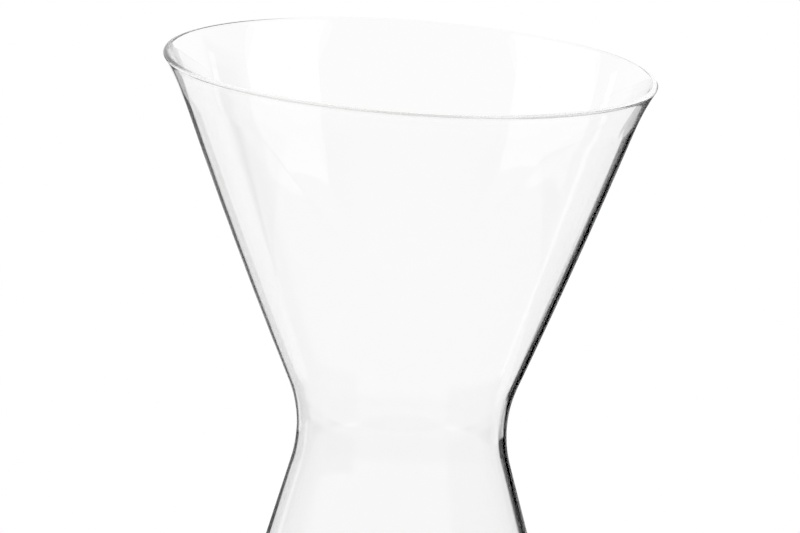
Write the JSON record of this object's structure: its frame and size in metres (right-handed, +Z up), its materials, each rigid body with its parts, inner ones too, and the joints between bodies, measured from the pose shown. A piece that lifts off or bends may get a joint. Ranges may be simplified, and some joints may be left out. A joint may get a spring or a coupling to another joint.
{
  "type": "glass carafe",
  "caption": "Clear blown-glass hourglass carafe with a wide funnel mouth, a narrow waist to grip and a conical body, for serving drinks.",
  "frame": {"origin": "centre of the foot, on the surface that the carafe stands on", "axes": "+Z up along the carafe's axis, +X towards the lower side of its slightly slanted mouth"},
  "size_m": [0.12, 0.12, 0.2222],
  "materials": {
    "clear_glass": "clear, smooth and fire-polished"
  },
  "bodies": {
    "root": {"glass_body": "clear_glass"}
  },
  "joints": []
}
